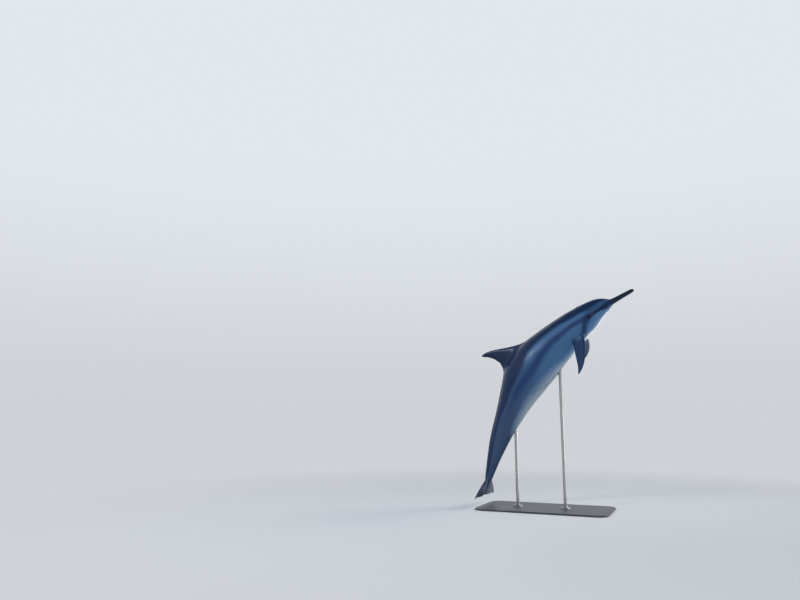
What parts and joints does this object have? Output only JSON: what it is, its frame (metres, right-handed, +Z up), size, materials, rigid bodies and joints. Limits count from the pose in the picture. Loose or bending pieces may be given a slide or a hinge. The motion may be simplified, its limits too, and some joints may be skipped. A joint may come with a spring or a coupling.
{
  "type": "spinner dolphin",
  "caption": "Leaping spinner dolphin as a life-size museum model: slim body, long thin beak, upright dorsal fin, held on a flat base by short upright rods.",
  "frame": {"origin": "middle of the underside of the stand's base plate, on the floor", "axes": "+Z up, +X the way the head points, seen from above, +Y the animal's left; the plane Y = 0 halves the body and the stand"},
  "size_m": [1.1255, 0.5932, 1.5201],
  "materials": {
    "skin": "smooth wet grey-blue skin, dark above and pale below",
    "eye": "polished dark brown, almost black",
    "stand_paint": "satin graphite paint on steel plate",
    "stand_steel": "brushed stainless steel"
  },
  "bodies": {
    "root": {"beak_upper": "skin", "lower_jaw": "skin", "head": "skin", "chest": "skin", "trunk": "skin", "tail_stock_front": "skin", "tail_stock_rear": "skin", "dorsal_fin": "skin", "flipper_left": "skin", "flipper_right": "skin", "fluke_left": "skin", "fluke_right": "skin", "eye_left": "eye", "eye_right": "eye", "stand_base": "stand_paint", "stand_flange_front": "stand_steel", "stand_flange_rear": "stand_steel", "stand_rod_front": "stand_steel", "stand_rod_rear": "stand_steel"}
  },
  "joints": []
}
